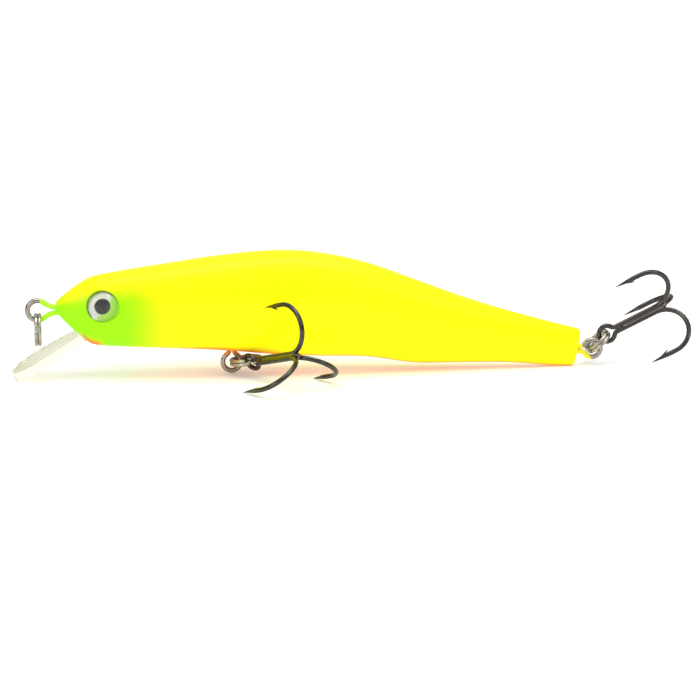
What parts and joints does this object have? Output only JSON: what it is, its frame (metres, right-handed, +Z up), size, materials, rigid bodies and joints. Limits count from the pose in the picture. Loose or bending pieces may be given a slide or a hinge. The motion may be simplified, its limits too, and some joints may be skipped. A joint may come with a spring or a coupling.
{
  "type": "crankbait lure",
  "caption": "Slim minnow crankbait with a clear diving lip, wire eyes, split rings, two treble hooks and sliding casting balls.",
  "frame": {"origin": "centre of the nose wire eye's loop, where the line is tied", "axes": "+X from head to tail, +Y towards the fish's right side, +Z up with the lure standing on lip, tail and hooks"},
  "size_m": [0.103, 0.0262, 0.0189],
  "materials": {
    "painted_body": "fluorescent yellow lacquer, green head, orange belly line",
    "clear_lip": "clear moulded plastic with a warm tint",
    "stainless_wire": "bright drawn wire",
    "ring_steel": "bright nickel",
    "hook_steel": "black nickel",
    "eye_foil": "silver foil with a black pupil",
    "eye_dome": "clear resin",
    "weight_metal": "cast tungsten alloy",
    "magnet": "nickel plated",
    "ball_steel": "polished steel"
  },
  "bodies": {
    "lure_body": {"left_shell": "painted_body", "right_shell": "painted_body", "diving_lip": "clear_lip", "nose_eye": "stainless_wire", "belly_eye": "stainless_wire", "tail_eye": "stainless_wire", "left_eye_foil": "eye_foil", "right_eye_foil": "eye_foil", "left_eye_dome": "eye_dome", "right_eye_dome": "eye_dome", "belly_weight": "weight_metal", "magnet": "magnet"},
    "nose_ring": {"nose_ring": "ring_steel"},
    "belly_ring": {"belly_ring": "ring_steel"},
    "tail_ring": {"tail_ring": "ring_steel"},
    "front_treble": {"front_double_hook": "hook_steel", "front_single_hook": "hook_steel"},
    "rear_treble": {"rear_double_hook": "hook_steel", "rear_single_hook": "hook_steel"},
    "ball_front": {"ball_front": "ball_steel"},
    "ball_middle": {"ball_middle": "ball_steel"},
    "ball_rear": {"ball_rear": "ball_steel"}
  },
  "joints": [
    {"name": "nose_ring_swing", "type": "hinge", "parent": "lure_body", "child": "nose_ring", "pos_m": [0, 0, 0], "axis": [0, 1, 0], "range_deg": [-8, 150]},
    {"name": "belly_ring_swing", "type": "hinge", "parent": "lure_body", "child": "belly_ring", "pos_m": [0.02905, 0, -0.00855], "axis": [0, 1, 0], "range_deg": [0, 80]},
    {"name": "front_treble_swing", "type": "hinge", "parent": "belly_ring", "child": "front_treble", "pos_m": [0.03198, -0.0032, -0.00791], "axis": [-0.6322, -0.6066, -0.482], "range_deg": [-50, 0]},
    {"name": "tail_ring_swing", "type": "hinge", "parent": "lure_body", "child": "tail_ring", "pos_m": [0.0842, 0, -0.00775], "axis": [0, 1, 0], "range_deg": [-10, 110]},
    {"name": "rear_treble_swing", "type": "hinge", "parent": "tail_ring", "child": "rear_treble", "pos_m": [0.08673, 0.00072, -0.00562], "axis": [0.0428, 0.9952, -0.0877], "range_deg": [-15, 70]},
    {"name": "ball_front_roll", "type": "slide", "parent": "lure_body", "child": "ball_front", "axis": [0.9854, 0, -0.1702], "range_m": [0, 0.0134]},
    {"name": "ball_middle_roll", "type": "slide", "parent": "lure_body", "child": "ball_middle", "axis": [0.9854, 0, -0.1702], "range_m": [0, 0.0134]},
    {"name": "ball_rear_roll", "type": "slide", "parent": "lure_body", "child": "ball_rear", "axis": [0.9854, 0, -0.1702], "range_m": [0, 0.0134]}
  ],
  "couplings": [
    {"joint": "ball_middle_roll", "follows": "ball_rear_roll", "ratio": 1},
    {"joint": "ball_front_roll", "follows": "ball_rear_roll", "ratio": 1}
  ]
}
